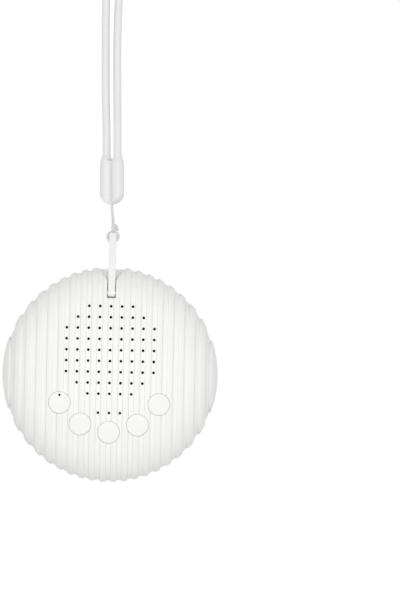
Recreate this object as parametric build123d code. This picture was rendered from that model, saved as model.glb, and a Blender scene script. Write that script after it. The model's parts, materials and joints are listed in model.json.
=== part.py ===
from build123d import *
import os
from math import acos, asin, cos, hypot, pi, radians, sin, sqrt, tan

# Portable sound machine lying on its back. Millimetres, +Z out of the front face, +Y towards the strap.
# The origin is the centre of the base pad's underside, which rests on the table.

# Case: a domed front shell with straight ribs and a smooth rear bowl, joined at the widest plane
case_radius = 45.0            # over the ribs
seam_height = 14.5
back_height = 0.5             # the rear shell's flat back above the table
front_edge_radius = 16.0      # meridian radius of the front shell's edge
crown_radius = 120.0          # sphere of the front face
shell_wall = 1.6
rib_pitch = 4.56
valley_width = 1.9
rib_depth = 0.7
end_rib_flat = 0.1            # the outermost ribs stop this far inside the case radius

# Seam lip on the rear shell
lip_height = 1.4
lip_thickness = 1.0
lip_drop = 1.2                # how far the lip's root reaches below the seam
lip_clearance = 0.15
lip_gap_width = 9.0           # break in the lip under the finger notch

# Sound holes, in the valleys between the ribs
grille_rows = (5, 7, 9, 9, 9, 9, 9, 7, 5)
grille_centre_y = 10.3
grille_hole_diameter = 1.2

# Buttons on a ring in the lower half of the face
button_names = ("power", "volume_down", "sound", "volume_up", "timer")
button_ring_radius = 23.95
button_first_angle = 210.0
button_step_angle = 30.0
button_radius = 4.5
button_gap = 0.15             # round the cap
button_proud = 0.35           # cap face above the rib tops
button_flange_radius = 5.2
button_flange_thickness = 1.1
button_flange_gap = 0.12      # flange under the shell
button_stem_radius = 1.6
button_travel = 0.3
collar_gap = 0.2              # round the flange
collar_thickness = 0.8
collar_clearance = 0.3        # guide collars above the speaker's frame

# Indicator lights
light_row_y = -15.9
light_hole_diameter = 1.18
power_light_offset = 3.2      # above the power button's centre
power_light_diameter = 1.06

# Strap channel in the rim, its pin and the soft band
channel_width = 3.7
channel_end_y = 31.95
channel_wall = 1.2
channel_bottom_gap = 0.75     # under the band's eye
band_width = 3.0
band_thickness = 0.9
band_end_y = 59.4             # far end of the band, as seen from the front
band_end_gap = 0.5            # channel end to the band's eye
band_droop = 34.0             # degrees below level
band_floor_gap = 0.3          # band to the channel floor
pin_radius = 0.75
pin_clearance = 0.06
pin_press = 0.01              # pin to its holes in the channel walls
pin_depth = 2.3               # pin axis below the rib tops
notch_apex_y = 35.8           # finger notch: a cone that opens towards the rim
notch_half_angle = 25.0
notch_tilt = 38.0
notch_length = 24.0

# Screws and their posts
post_radius = 3.0
boss_radius = 2.6
join_height = 16.0            # rear posts meet front bosses
case_post_places = ((26.5, 8.0), (-26.5, 8.0), (10.2, -12.2), (-10.2, -12.2))
screw_radius = 1.0
screw_clearance = 0.15
pilot_clearance = 0.02
pilot_end_gap = 0.3           # beyond a screw's point
screw_head_radius = 1.8
screw_head_height = 1.3
head_room = 0.2               # round a screw head in its bore
case_head_height = 4.4        # under side of the case screws' bores
case_screw_length = 17.0
board_post_radius = 2.4
board_screw_length = 5.5
board_post_inset = 13.0       # board posts inside the case radius
board_post_angles = (196.0, 285.0, 344.0)

# Base pad, over the case screws
pad_radius = 30.3
pad_thickness = 1.1
pad_side_gap = 0.2
pad_edge_chamfer = 0.3

# Circuit board
board_top = 14.2
board_thickness = 1.2
board_inset = 8.0             # board's edge inside the case radius
board_limit_y = -6.0
board_tongue_width = 10.0
board_tongue_inset = 3.8      # board's tongue inside the case radius
board_speaker_clearance = 2.2
board_hole_clearance = 0.3
key_side = 4.9
key_height = 3.5
key_bore_depth = 1.2
key_bore_clearance = 0.08
plunger_radius = 1.7
plunger_stand = 1.4           # plunger end above the key housing
plunger_sunk = 0.8
led_length = 1.6
led_width = 0.8
led_height = 0.6
guide_radius = 0.85
power_guide_radius = 0.55
guide_gap = 0.15
guide_bar_height = 20.0
guide_bar_thickness = 2.0
guide_peg_reach = 7.6
controller_size = (6.0, 5.0, 1.6)
controller_place = (19.6, -22.2)
amplifier_size = (5.0, 4.0, 1.5)
amplifier_place = (-19.6, -22.2)
chip_lead_length = 0.8
chip_lead_count = 4
connector_size = (6.0, 4.6, 4.4)
connector_place = (-11.0, -29.5)
connector_wall = 0.7
contact_offset = 1.2
contact_width = 0.6
plug_gap = 0.08
plug_stand = 0.6              # plug housing proud of the wafer

# Charging inlet on the board's under side
socket_width = 7.5
socket_height = 2.6
socket_depth = 5.6
socket_wall = 0.35
socket_taper = 0.7
socket_mouth_inset = 1.2      # mouth behind the case's widest radius
inlet_gap = 0.7               # slot in the shell round the socket

# Battery and its foam tape on the rear shell's floor
battery_size = (43.0, 34.0, 6.0)
battery_centre_y = 9.0
battery_corner = 1.2
tape_thickness = 0.5
fence_gap = 0.35
fence_thickness = 1.0
fence_height = 3.0

# Speaker, measured down from the top of its frame's flange
speaker_top = 25.4
frame_opening = 17.4
frame_flange_width = 2.5
frame_thickness = 1.0
ear_overhang = 2.16           # screw holes outside the flange's round edge
ear_radius = 2.4
speaker_boss_radius = 1.95
frame_floor_radius = 13.0
frame_floor_drop = 8.8
spider_drop = 6.6
spider_radius = 12.4
gasket_thickness = 0.8
gasket_gap = 0.3              # to the surround's foot
plate_radius = 12.6
plate_thickness = 1.6
magnet_radius = 14.0
magnet_thickness = 3.0
magnet_hole = 8.0
yoke_thickness = 1.6
pole_radius = 5.8
coil_radius = 6.1
coil_former = 0.2
winding_thickness = 0.25
coil_gap = 0.35
cone_rim_radius = 14.4
cone_neck_drop = 4.8
cone_thickness = 0.4
cap_rise = 1.6
cone_travel = 0.8
surround_height = 1.1
spider_corrugation = 0.6
skin_thickness = 0.35
surround_foot = 0.7           # on the frame's flange, inside the gasket
dust_cap_overlap = 1.2        # dust cap beyond the cone's neck
glue_gap = 0.02
terminal_size = (0.8, 6.0, 4.0)
terminal_inset = 1.2          # terminal strip outside the frame's opening
speaker_screw_cover = 0.5     # shell left over the speaker screws' points

# Dust cloth behind the sound holes
cloth_radius = 21.0
cloth_thickness = 0.3
cloth_rim_thickness = 0.9
cloth_rim_drop = 2.4

# Strap cords and the moulded bullet
string_diameter = 1.2
string_ring_half_width = 2.2
string_ring_half_height = 2.6
string_end_gap = 0.25
bullet_start_x = -0.78
bullet_start_y = 71.15
bullet_length = 22.0
bullet_turn = 36.0            # degrees, turned about its long axis
bullet_lean = -1.1            # degrees, towards -X as it leaves the machine
lobe_radius = 2.75
lobe_offset = 2.85
web_thickness = 3.4
strand_diameter = 3.3
strand_run = 9.0              # straight out of the bullet
lead_diameter = 1.1
battery_lead_jog = 4.4        # battery leads leave the cell this far beside the plug
battery_lead_dip = 1.4        # and bow down by this on the way
battery_lead_bends = ((0.23, 1.0, 0.0), (0.49, 0.86, 0.57), (0.79, 0.27, 1.0), (1.0, 0.0, 0.7))
speaker_lead_pitch = 2.6      # at the terminal strip
speaker_lead_run = 2.6        # straight out of the strip, and down beside it
speaker_pad_pitch = 1.8
speaker_pad_place = (15.6, -12.06)

# What follows from those sizes
edge_centre_radius = case_radius - front_edge_radius
tangent_angle = asin(edge_centre_radius / (crown_radius - front_edge_radius))
crown_centre_height = seam_height - (crown_radius - front_edge_radius) * cos(tangent_angle)
rear_radius = case_radius - rib_depth
rear_edge_radius = seam_height - back_height
flat_back_radius = rear_radius - rear_edge_radius
floor_height = back_height + shell_wall
board_radius = case_radius - board_inset
board_tongue_end = board_tongue_inset - case_radius
board_post_ring = case_radius - board_post_inset
board_bottom = board_top - board_thickness
frame_radius = frame_opening + frame_flange_width
ear_offset = (frame_radius + ear_overhang) / sqrt(2)
gasket_inner_radius = frame_opening + surround_foot + gasket_gap
terminal_radius = frame_opening + terminal_inset
eye_inner = pin_radius + pin_clearance
eye_outer = eye_inner + band_thickness
pin_y = channel_end_y + band_end_gap + eye_outer
band_slope = radians(band_droop)
band_length = (band_end_y - eye_outer - pin_y) / cos(band_slope)
bullet_axis_height = lobe_radius + lobe_offset * sin(radians(bullet_turn)) + 0.05


def envelope_height(radius, inset=0.0):
    """Height of the front envelope at a distance from the axis."""
    if radius < (crown_radius - inset) * sin(tangent_angle):
        return crown_centre_height + sqrt((crown_radius - inset) ** 2 - radius ** 2)
    edge = front_edge_radius - inset
    across = min(radius - edge_centre_radius, edge)
    return seam_height + sqrt(edge ** 2 - across ** 2)


pin_height = envelope_height(pin_y) - pin_depth


def button_place(index):
    angle = radians(button_first_angle + index * button_step_angle)
    return button_ring_radius * cos(angle), button_ring_radius * sin(angle)


def post(radius, low, high, place=(0.0, 0.0)):
    """Upright round bar between two heights."""
    return Pos(place[0], place[1], low) * Cylinder(
        radius, high - low, align=(Align.CENTER, Align.CENTER, Align.MIN)
    )


def ring(outer, inner, low, high, place=(0.0, 0.0)):
    return post(outer, low, high, place) - post(inner, low, high, place)


def turned(*edges):
    """Solid of revolution about Z from the closed profile that the edges make in the XZ plane."""
    return revolve(make_face(Wire([edge.edge() for edge in edges])), Axis.Z)


def turned_outline(*points):
    """Solid of revolution about Z from a polygon of (radius, height) points."""
    return revolve(make_face(Polyline(*[(r, 0, z) for r, z in points], close=True)), Axis.Z)


def at_speaker(shape):
    return Pos(0, grille_centre_y, speaker_top) * shape


# ---- front shell

def faceted_dome(inset, steps=7):
    """Front envelope above the seam in straight-sided steps, for the inside of the shell."""
    edge = front_edge_radius - inset
    crown = crown_radius - inset
    points = [(0, seam_height)]
    for k in range(steps + 1):
        angle = k * (pi / 2 - tangent_angle) / steps
        points.append((edge_centre_radius + edge * cos(angle), seam_height + edge * sin(angle)))
    for k in range(1, steps):
        angle = tangent_angle * (1 - k / steps)
        points.append((crown * sin(angle), crown_centre_height + crown * cos(angle)))
    points.append((0, crown_centre_height + crown))
    return turned_outline(*points)


def band_section(x, inset):
    """Outline of the front envelope in the plane at x: edge arc, crown arc, edge arc and the seam line."""
    edge = front_edge_radius - inset
    rim_y = sqrt((edge_centre_radius + edge) ** 2 - x ** 2)
    crown_edge = (crown_radius - inset) * sin(tangent_angle)
    turn_y = max(sqrt(max(crown_edge ** 2 - x ** 2, 0)), 0.4 * rim_y)
    bend = acos((hypot(x, turn_y) - edge_centre_radius) / edge) / 2
    mid_y = sqrt((edge_centre_radius + edge * cos(bend)) ** 2 - x ** 2)
    mid_height = seam_height + edge * sin(bend)
    turn_height = envelope_height(hypot(x, turn_y), inset)
    near, far = [
        ThreePointArc(
            (x, side * rim_y, seam_height), (x, side * mid_y, mid_height), (x, side * turn_y, turn_height)
        )
        for side in (-1, 1)
    ]
    crown = ThreePointArc(
        (x, -turn_y, turn_height), (x, 0, envelope_height(abs(x), inset)), (x, turn_y, turn_height)
    )
    base = Line((x, -rim_y, seam_height), (x, rim_y, seam_height))
    return make_face(Wire([edge.edge() for edge in (near, crown, far, base)]))


def ribbed_dome():
    """Front envelope with straight ribs: bands between planes at constant x, ribs high and valleys low."""
    last_valley = int((case_radius - rib_depth - valley_width) / rib_pitch)
    half_valley = valley_width / 2
    spans = []
    for k in range(-last_valley, last_valley + 1):
        spans.append((k * rib_pitch - half_valley, k * rib_pitch + half_valley, rib_depth))
    for k in range(-last_valley, last_valley):
        spans.append((k * rib_pitch + half_valley, (k + 1) * rib_pitch - half_valley, 0.0))
    outermost = last_valley * rib_pitch + half_valley
    end = case_radius - end_rib_flat
    spans += [(outermost, end, 0.0), (-end, -outermost, 0.0)]
    bands = [loft([band_section(a, inset), band_section(b, inset)], ruled=True) for a, b, inset in spans]
    return bands[0].fuse(*bands[1:])


def band_line_height(y, below):
    """Height of a line parallel to the band at rest, a distance below its axis."""
    return pin_height - (y - pin_y) * tan(band_slope) - below / cos(band_slope)


def channel_block(grow):
    """Space of the strap channel, grown outwards by grow."""
    end_y = channel_end_y - grow
    low = pin_height - eye_outer - channel_bottom_gap - grow
    below = eye_outer + band_floor_gap + grow
    turn_y = pin_y + (pin_height - low - below / cos(band_slope)) / tan(band_slope)
    out_y = case_radius + shell_wall
    high = crown_radius
    outline = Polyline(
        (0, end_y, high), (0, end_y, low), (0, turn_y, low), (0, out_y, band_line_height(out_y, below)),
        (0, out_y, high), close=True
    )
    return extrude(make_face(outline), channel_width / 2 + grow, dir=(1, 0, 0), both=True)


def notch_cone(grow):
    """Finger notch beside the strap, grown outwards by grow."""
    half = radians(notch_half_angle)
    back = grow / sin(half)
    length = notch_length + back
    cone = Cone(
        0.0, length * tan(half), length, align=(Align.CENTER, Align.CENTER, Align.MIN)
    )
    apex = (0, notch_apex_y, envelope_height(notch_apex_y))
    return Pos(*apex) * Rot(-90 - notch_tilt, 0, 0) * Pos(0, 0, -back) * cone


def grille_places():
    middle = (len(grille_rows) - 1) / 2
    for row, count in enumerate(grille_rows):
        y = grille_centre_y + (middle - row) * rib_pitch
        for column in range(count):
            yield (column - (count - 1) / 2) * rib_pitch, y


def light_places():
    return [(side * rib_pitch, light_row_y) for side in (-1, 0, 1)]


def power_light_place():
    x, y = button_place(0)
    return x, y + power_light_offset


def ear_places():
    return [(sx * ear_offset, grille_centre_y + sy * ear_offset) for sx in (-1, 1) for sy in (-1, 1)]


def speaker_screw_length():
    """Length under the head: up into the shell's wall over the ear that lies lowest under the dome."""
    lowest = min(envelope_height(hypot(*place), rib_depth + shell_wall / 2) for place in ear_places())
    return lowest - speaker_screw_cover - (speaker_top - frame_thickness)


def front_shell():
    inner = rib_depth + shell_wall
    high = crown_radius
    collar_inner = button_flange_radius + collar_gap
    collar_low = speaker_top + collar_clearance
    inside = [post(boss_radius, join_height, high, place) for place in case_post_places]
    inside += [post(speaker_boss_radius, speaker_top, high, place) for place in ear_places()]
    inside += [
        ring(collar_inner + collar_thickness, collar_inner, collar_low, high, button_place(i))
        for i in range(len(button_names))
    ]
    rim_low = envelope_height(cloth_radius, inner) - cloth_rim_drop
    rim_radius = cloth_radius + collar_gap
    inside.append(ring(rim_radius + cloth_rim_thickness, rim_radius, rim_low, high, (0, grille_centre_y)))
    inside += [channel_block(channel_wall), notch_cone(channel_wall)]
    shell = ribbed_dome() - (faceted_dome(inner) - inside)

    cuts = [channel_block(0.0), notch_cone(0.0)]
    cuts += [post(grille_hole_diameter / 2, seam_height, high, place) for place in grille_places()]
    cuts += [post(light_hole_diameter / 2, seam_height, high, place) for place in light_places()]
    cuts += [
        post(button_radius + button_gap, seam_height, high, button_place(i)) for i in range(len(button_names))
    ]
    pilot = screw_radius + pilot_clearance
    cuts += [
        post(pilot, join_height, case_head_height + case_screw_length + pilot_end_gap, place)
        for place in case_post_places
    ]
    ear_pilot_top = speaker_top - frame_thickness + speaker_screw_length() + pilot_end_gap
    cuts += [post(pilot, speaker_top, ear_pilot_top, place) for place in ear_places()]
    cuts.append(pin_bar(pin_radius + pin_press))
    return shell - cuts


def pin_bar(radius):
    length = channel_width + 2 * channel_wall
    return Pos(0, pin_y, pin_height) * Rot(0, 90, 0) * Cylinder(radius, length)


# ---- rear shell and base pad

def bowl(inset):
    """Smooth rear envelope below the seam."""
    edge = rear_edge_radius - inset
    rim = (flat_back_radius + edge, 0, seam_height)
    mid = (flat_back_radius + edge * cos(pi / 4), 0, seam_height - edge * sin(pi / 4))
    back_edge = (flat_back_radius, 0, seam_height - edge)
    back = (0, 0, seam_height - edge)
    foot = (0, 0, seam_height)
    side = ThreePointArc(rim, mid, back_edge)
    return turned(side, Line(back_edge, back), Line(back, foot), Line(foot, rim))


def faceted_bowl(inset, steps=7):
    """Rear envelope below the seam in straight-sided steps, for the inside of the shell."""
    edge = rear_edge_radius - inset
    points = [(0, seam_height)]
    for k in range(steps + 1):
        angle = k * pi / 2 / steps
        points.append((flat_back_radius + edge * cos(angle), seam_height - edge * sin(angle)))
    points.append((0, seam_height - edge))
    return turned_outline(*points)


def board_post_places():
    return [
        (board_post_ring * cos(radians(angle)), board_post_ring * sin(radians(angle)))
        for angle in board_post_angles
    ]


def inlet_slot():
    """Rounded slot through the rear shell's wall and lip, round the charging socket."""
    width = socket_width + 2 * inlet_gap
    height = socket_height + 2 * inlet_gap
    middle = board_bottom - socket_height / 2
    slot = Plane.XZ * RectangleRounded(width, height, height * 0.35)
    depth = case_radius - abs(board_tongue_end) + shell_wall
    return Pos(0, board_tongue_end, middle) * extrude(slot, depth)


def rear_shell():
    inner_edge = flat_back_radius + rear_edge_radius - shell_wall
    lip_outer = case_radius - rib_depth - shell_wall - lip_clearance
    lip_inner = lip_outer - lip_thickness
    root = inner_edge + shell_wall / 2
    lip = turned_outline(
        (root, seam_height - lip_drop - lip_thickness), (lip_inner, seam_height - lip_drop),
        (lip_inner, seam_height + lip_height), (lip_outer, seam_height + lip_height),
        (lip_outer, seam_height), (root, seam_height)
    )
    low = back_height + shell_wall / 2
    posts = [post(post_radius, low, join_height, place) for place in case_post_places]
    posts += [post(board_post_radius, low, board_bottom, place) for place in board_post_places()]
    length, width = battery_size[0] + 2 * fence_gap, battery_size[1] + 2 * fence_gap
    fence = Box(length + 2 * fence_thickness, width + 2 * fence_thickness, fence_height) - Box(
        length, width, fence_height
    )
    fence -= [Box(length * 0.5, 2 * width, fence_height), Box(2 * length, width * 0.5, fence_height)]
    fence = Pos(0, battery_centre_y, floor_height + fence_height / 2) * fence
    shell = bowl(0.0) - faceted_bowl(shell_wall) + lip + posts + fence

    recess_top = pad_thickness
    cuts = [post(pad_radius + pad_side_gap, 0, recess_top), inlet_slot()]
    lip_gap = Box(lip_gap_width, 4 * lip_thickness, 2 * lip_height)
    cuts.append(Pos(0, lip_outer, seam_height + lip_height) * lip_gap)
    for place in case_post_places:
        cuts.append(post(screw_head_radius + head_room, 0, case_head_height, place))
        cuts.append(post(screw_radius + screw_clearance, 0, join_height, place))
    pilot_low = board_top - board_screw_length - pilot_end_gap
    cuts += [
        post(screw_radius + pilot_clearance, pilot_low, board_bottom, place) for place in board_post_places()
    ]
    return shell - cuts


def base_pad():
    pad = post(pad_radius, 0, pad_thickness)
    return chamfer(pad.edges().group_by(Axis.Z)[0], pad_edge_chamfer)


# ---- screws

def pan_screw(length):
    """Pan-head screw with its head's bearing face at the origin and its shank along +Z."""
    head = turned_outline(
        (0, -screw_head_height), (screw_head_radius * 0.6, -screw_head_height),
        (screw_head_radius, -screw_head_height * 0.45), (screw_head_radius, 0), (0, 0)
    )
    slot = Pos(0, 0, -screw_head_height) * (
        Box(screw_head_radius * 1.1, 0.35, 0.7) + Box(0.35, screw_head_radius * 1.1, 0.7)
    )
    point = screw_radius * 0.7
    shank = post(screw_radius, 0, length - point)
    tip = Pos(0, 0, length - point) * Cone(
        screw_radius, screw_radius * 0.4, point, align=(Align.CENTER, Align.CENTER, Align.MIN)
    )
    return head + shank + tip - slot


def case_screws():
    screw = pan_screw(case_screw_length)
    return [Pos(x, y, case_head_height) * screw for x, y in case_post_places]


def board_screws():
    screw = Rot(180, 0, 0) * pan_screw(board_screw_length)
    return [Pos(x, y, board_top) * screw for x, y in board_post_places()]


def speaker_screws():
    screw = pan_screw(speaker_screw_length())
    return [Pos(x, y, speaker_top - frame_thickness) * screw for x, y in ear_places()]


# ---- buttons

def crown_ball(inset):
    return Pos(0, 0, crown_centre_height) * Sphere(crown_radius - inset)


def plunger_top():
    return board_top + key_height + plunger_stand


def button(index):
    """Key cap: domed plug through the shell, a flange under it and a stem down to the key."""
    place = button_place(index)
    low = seam_height
    high = crown_radius
    flange_inset = rib_depth + shell_wall + button_flange_gap
    under = crown_ball(flange_inset + button_flange_thickness)
    plug = (post(button_radius, low, high, place) & crown_ball(-button_proud)) - under
    flange = (post(button_flange_radius, low, high, place) & crown_ball(flange_inset)) - under
    stem_high = envelope_height(button_ring_radius, flange_inset)
    cap = plug + flange + post(button_stem_radius, plunger_top(), stem_high, place)
    if index == 0:
        cap -= post(power_light_diameter / 2, low, high, power_light_place())
    return cap


def key_plunger(index):
    low = board_top + key_height - plunger_sunk
    return post(plunger_radius, low, plunger_top(), button_place(index))


def key_switches():
    housing = Pos(0, 0, key_height / 2) * Box(key_side, key_side, key_height)
    housing = chamfer(housing.edges().filter_by(Axis.Z), key_side * 0.08)
    bore = post(plunger_radius + key_bore_clearance, key_height - key_bore_depth, key_height)
    return [Pos(*button_place(i), board_top) * (housing - bore) for i in range(len(button_names))]


# ---- circuit board and what stands on it

def circuit_board():
    plate = post(board_radius, board_bottom, board_top)
    plate &= Pos(0, board_limit_y, board_bottom) * Box(
        2 * board_radius, 2 * board_radius, board_thickness, align=(Align.CENTER, Align.MAX, Align.MIN)
    )
    tongue_length = abs(board_tongue_end) - board_radius * 0.8
    plate += Pos(0, board_tongue_end, board_bottom) * Box(
        board_tongue_width, tongue_length, board_thickness, align=(Align.CENTER, Align.MIN, Align.MIN)
    )
    cuts = [post(frame_radius + board_speaker_clearance, 0, speaker_top, (0, grille_centre_y))]
    cuts += [post(ear_radius + board_speaker_clearance / 2, 0, speaker_top, place) for place in ear_places()]
    cuts += [post(post_radius + board_hole_clearance, 0, join_height, place) for place in case_post_places]
    cuts += [post(screw_radius + screw_clearance, 0, join_height, place) for place in board_post_places()]
    return plate - cuts


def indicator_leds():
    chip = Box(led_length, led_width, led_height, align=(Align.CENTER, Align.CENTER, Align.MIN))
    places = light_places() + [power_light_place()]
    return [Pos(x, y, board_top) * chip for x, y in places]


def light_guides():
    """Clear rods from the lights to the holes: three on one bar with pegs, and one by the power button."""
    low = board_top + led_height + guide_gap
    reach = hypot(rib_pitch + guide_radius, abs(light_row_y) + guide_radius)
    high = envelope_height(reach, rib_depth + shell_wall) - guide_gap
    row = [post(guide_radius, low, high, place) for place in light_places()]
    bar = Pos(0, light_row_y, guide_bar_height) * Box(
        2 * guide_peg_reach, 2 * guide_radius, guide_bar_thickness
    )
    pegs = [
        post(guide_radius, board_top, guide_bar_height, (side * guide_peg_reach, light_row_y))
        for side in (-1, 1)
    ]
    x, y = power_light_place()
    flange_under = rib_depth + shell_wall + button_flange_gap + button_flange_thickness
    power_high = envelope_height(hypot(x, y) + power_guide_radius, flange_under) - button_travel - guide_gap
    return [row[0] + row[1:] + bar + pegs, post(power_guide_radius, low, power_high, (x, y))]


def chip(size, place):
    """Chip on the board with a row of bent leads down two sides."""
    length, width, height = size
    body = Pos(*place, board_top + height / 2 + 0.1) * Box(length, width, height - 0.2)
    body = chamfer(body.edges().group_by(Axis.Z)[-1], 0.15)
    step = length / chip_lead_count
    leads = []
    for k in range(chip_lead_count):
        x = place[0] + (k - (chip_lead_count - 1) / 2) * step
        leads.append(
            Pos(x, place[1], board_top + height * 0.2)
            * Box(step * 0.35, width + 2 * chip_lead_length, height * 0.4)
        )
    return body + leads


def battery_connector():
    """Wafer under the board with two contact pins, open downwards."""
    length, width, height = connector_size
    wafer = Box(length, width, height) - Pos(0, 0, -connector_wall) * Box(
        length - 2 * connector_wall, width - 2 * connector_wall, height
    )
    pins = [
        Pos(side * contact_offset, 0, height * 0.2) * Box(contact_width, contact_width, height * 0.6)
        for side in (-1, 1)
    ]
    return Pos(*connector_place, board_bottom - height / 2) * (wafer + pins)


def battery_plug():
    """Crimp housing on the battery leads, pushed into the wafer."""
    length, width, height = [size - 2 * connector_wall - 2 * plug_gap for size in connector_size]
    low = board_bottom - connector_size[2] - plug_stand
    high = board_bottom - connector_wall - plug_gap
    housing = Pos(*connector_place, low) * Box(
        length, width, high - low, align=(Align.CENTER, Align.CENTER, Align.MIN)
    )
    slot = contact_width / 2 + plug_gap
    bores = [
        Pos(connector_place[0] + side * contact_offset, connector_place[1], high)
        * Box(2 * slot, 2 * slot, 2 * height)
        for side in (-1, 1)
    ]
    return housing - bores


def usb_socket():
    """Charging receptacle: a folded metal shell, wider at its top, with a contact tongue inside."""
    def mouth(inset):
        half = socket_width / 2 - inset
        high = board_bottom - inset
        low = board_bottom - socket_height + inset
        outline = Polyline(
            (-half, 0, high), (half, 0, high), (half, 0, low + socket_height / 2 - inset),
            (half - socket_taper, 0, low), (socket_taper - half, 0, low),
            (-half, 0, low + socket_height / 2 - inset), close=True
        )
        return make_face(outline)

    front = -(case_radius - socket_mouth_inset)
    shell = extrude(mouth(0.0), socket_depth, dir=(0, 1, 0))
    hollow = extrude(mouth(socket_wall), socket_depth - 2 * socket_wall, dir=(0, 1, 0))
    tongue_thickness = socket_height * 0.24
    tongue = Pos(0, socket_depth * 0.55, board_bottom - socket_height * 0.42) * Box(
        socket_width * 0.5, socket_depth * 0.8, tongue_thickness
    )
    return Pos(0, front, 0) * (shell - hollow + tongue)


# ---- battery

def battery_tape():
    length, width, _ = battery_size
    tape = Box(length * 0.8, width * 0.7, tape_thickness, align=(Align.CENTER, Align.CENTER, Align.MIN))
    return Pos(0, battery_centre_y, floor_height) * tape


def battery_cell():
    cell = Box(*battery_size, align=(Align.CENTER, Align.CENTER, Align.MIN))
    cell = fillet(cell.edges().filter_by(Axis.Y), battery_corner)
    return Pos(0, battery_centre_y, floor_height + tape_thickness) * cell


# ---- speaker, built about its own axis with z = 0 at the top of the flange

def speaker_basket():
    """Pressed frame: flange with four screw ears, a slotted cone and a floor ring that carries the magnet."""
    across_ears = 2 * hypot(ear_offset, ear_offset)
    slots = [Rot(0, 0, angle) * SlotCenterToCenter(across_ears, 2 * ear_radius) for angle in (45, 135)]
    flange = Pos(0, 0, -frame_thickness) * extrude(Circle(frame_radius) + slots, frame_thickness)
    flange -= post(frame_opening, -frame_thickness, 0)
    sheet = frame_thickness * 0.8
    floor = -frame_floor_drop
    wall = turned_outline(
        (frame_opening, -frame_thickness), (frame_opening + sheet, -frame_thickness),
        (spider_radius + 2.2, -spider_drop), (frame_floor_radius + sheet, floor), (pole_radius + 2.0, floor),
        (pole_radius + 2.0, floor + sheet), (frame_floor_radius - sheet / 2, floor + sheet),
        (spider_radius + 0.2, -spider_drop - sheet), (spider_radius + 0.2, -spider_drop),
        (spider_radius + 1.2, -spider_drop)
    )
    windows = []
    for k in range(4):
        window = Pos(frame_radius, 0, -(frame_thickness + spider_drop) / 2) * Box(
            2 * frame_radius - spider_radius, frame_radius * 0.75, (spider_drop - frame_thickness) * 0.55
        )
        windows.append(Rot(0, 0, 90 * k) * window)
    holes = [
        post(screw_radius + screw_clearance, -frame_thickness, 0, (sx * ear_offset, sy * ear_offset))
        for sx in (-1, 1) for sy in (-1, 1)
    ]
    return at_speaker(flange + (wall - windows) - holes)


def speaker_gasket():
    return at_speaker(ring(frame_radius, gasket_inner_radius, 0, gasket_thickness))


def speaker_surround():
    """Rubber roll between the frame and the cone."""
    inner, outer = cone_rim_radius, frame_opening
    quarter = (outer - inner) / 4
    under = [
        (inner, 0), (inner + quarter, surround_height * 0.85), (inner + 2 * quarter, surround_height),
        (inner + 3 * quarter, surround_height * 0.85), (outer, 0), (outer + surround_foot, 0)
    ]
    low = [(r, z + glue_gap) for r, z in under]
    high = [(r, z + glue_gap + skin_thickness) for r, z in reversed(under)]
    return at_speaker(turned_outline(*low, *high))


def cone_line():
    neck_radius = coil_radius + coil_former + 0.1
    return (neck_radius, -cone_neck_drop), (cone_rim_radius + 0.3, -cone_thickness)


def speaker_cone():
    (neck, neck_z), (rim, rim_z) = cone_line()
    lift = cone_thickness * hypot(1, (rim_z - neck_z) / (rim - neck))
    return at_speaker(turned_outline(
        (neck, neck_z), (rim, rim_z), (rim, rim_z + cone_thickness - glue_gap),
        (rim - 0.6, rim_z + cone_thickness - glue_gap),
        (neck, neck_z + lift)
    ))


def dust_cap():
    """Shallow dome over the coil, standing on the cone."""
    (neck, neck_z), (rim, rim_z) = cone_line()
    slope = (rim_z - neck_z) / (rim - neck)
    foot = neck + dust_cap_overlap
    base = neck_z + slope * dust_cap_overlap + cone_thickness * hypot(1, slope) + glue_gap
    ball = (foot ** 2 + cap_rise ** 2) / (2 * cap_rise)
    centre = Pos(0, 0, base + cap_rise - ball)
    shell = centre * Sphere(ball) - centre * Sphere(ball - skin_thickness)
    return at_speaker(shell & post(foot, base, base + 2 * cap_rise))


def voice_coil():
    """Former tube that the cone is glued to, with its winding in the magnet's gap."""
    gap_top = -frame_floor_drop
    low = gap_top - plate_thickness - 1.2
    former = ring(coil_radius + coil_former, coil_radius, low, -cone_neck_drop + 0.6)
    winding_outer = coil_radius + coil_former + winding_thickness
    return at_speaker(former + ring(winding_outer, coil_radius + coil_former * 0.5, low, gap_top + 0.6))


def speaker_spider():
    """Corrugated disc that centres the coil."""
    inner = coil_radius + coil_former + 0.05
    outer = spider_radius + 1.1
    steps = 6
    width = (outer - inner - 1.0) / steps
    upper = [(inner, 0.0)]
    for k in range(1, steps):
        upper.append((inner + k * width, spider_corrugation * (1 if k % 2 else 0)))
    upper += [(outer - 1.0, 0.0), (outer, 0.0)]
    lift = glue_gap + skin_thickness
    outline = [(r, z + lift) for r, z in upper] + [(r, z + glue_gap) for r, z in reversed(upper)]
    return at_speaker(Pos(0, 0, -spider_drop) * turned_outline(*outline))


def speaker_top_plate():
    top = -frame_floor_drop
    hole = coil_radius + coil_former + winding_thickness + coil_gap
    return at_speaker(ring(plate_radius, hole, top - plate_thickness, top))


def speaker_magnet():
    top = -frame_floor_drop - plate_thickness
    return at_speaker(ring(magnet_radius, magnet_hole, top - magnet_thickness, top))


def speaker_yoke():
    top = -frame_floor_drop - plate_thickness - magnet_thickness
    plate = post(plate_radius, top - yoke_thickness, top)
    plate = chamfer(plate.edges().group_by(Axis.Z)[0], 0.4)
    return at_speaker(plate + post(pole_radius, top, -frame_floor_drop))


def dust_cloth():
    """Thin cloth glued to the inside of the crown behind the sound holes."""
    inner = rib_depth + shell_wall
    disc = post(cloth_radius, seam_height, crown_radius, (0, grille_centre_y))
    disc -= [post(speaker_boss_radius + 0.1, seam_height, crown_radius, place) for place in ear_places()]
    disc -= channel_block(channel_wall + 0.1)
    return (disc & faceted_dome(inner + glue_gap)) - faceted_dome(inner + cloth_thickness)


# ---- wires inside the case

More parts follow.
